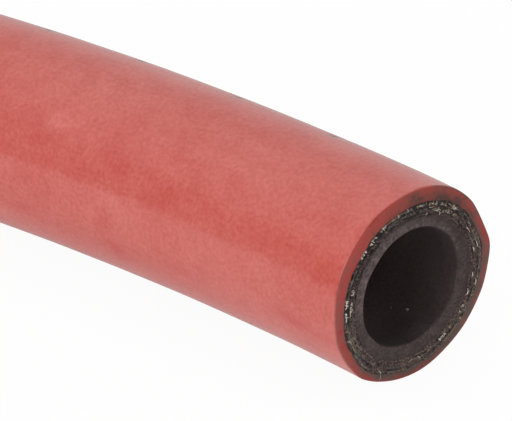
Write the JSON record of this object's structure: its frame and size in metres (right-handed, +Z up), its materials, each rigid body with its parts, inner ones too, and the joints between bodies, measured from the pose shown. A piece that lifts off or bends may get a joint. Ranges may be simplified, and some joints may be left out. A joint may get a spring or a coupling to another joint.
{
  "type": "rubber gas tubing",
  "caption": "Short cut length of thick-walled red rubber gas hose with a black lining and textile reinforcement, lying in a gentle curve.",
  "frame": {"origin": "on the floor, under the middle of the hose's box", "axes": "+Z up, +X along the chord of the curve towards the near cut end, +Y towards the outside of the curve"},
  "size_m": [0.1554, 0.0324, 0.0206],
  "materials": {
    "tube_rubber": "matte",
    "ply_rubber": "matte",
    "yarn": "matte",
    "cover_rubber": "matte"
  },
  "bodies": {
    "root": {"inner_tube": "tube_rubber", "reinforcement_ply": "ply_rubber", "inner_yarns": "yarn", "outer_yarns": "yarn", "outer_cover": "cover_rubber"}
  },
  "joints": []
}
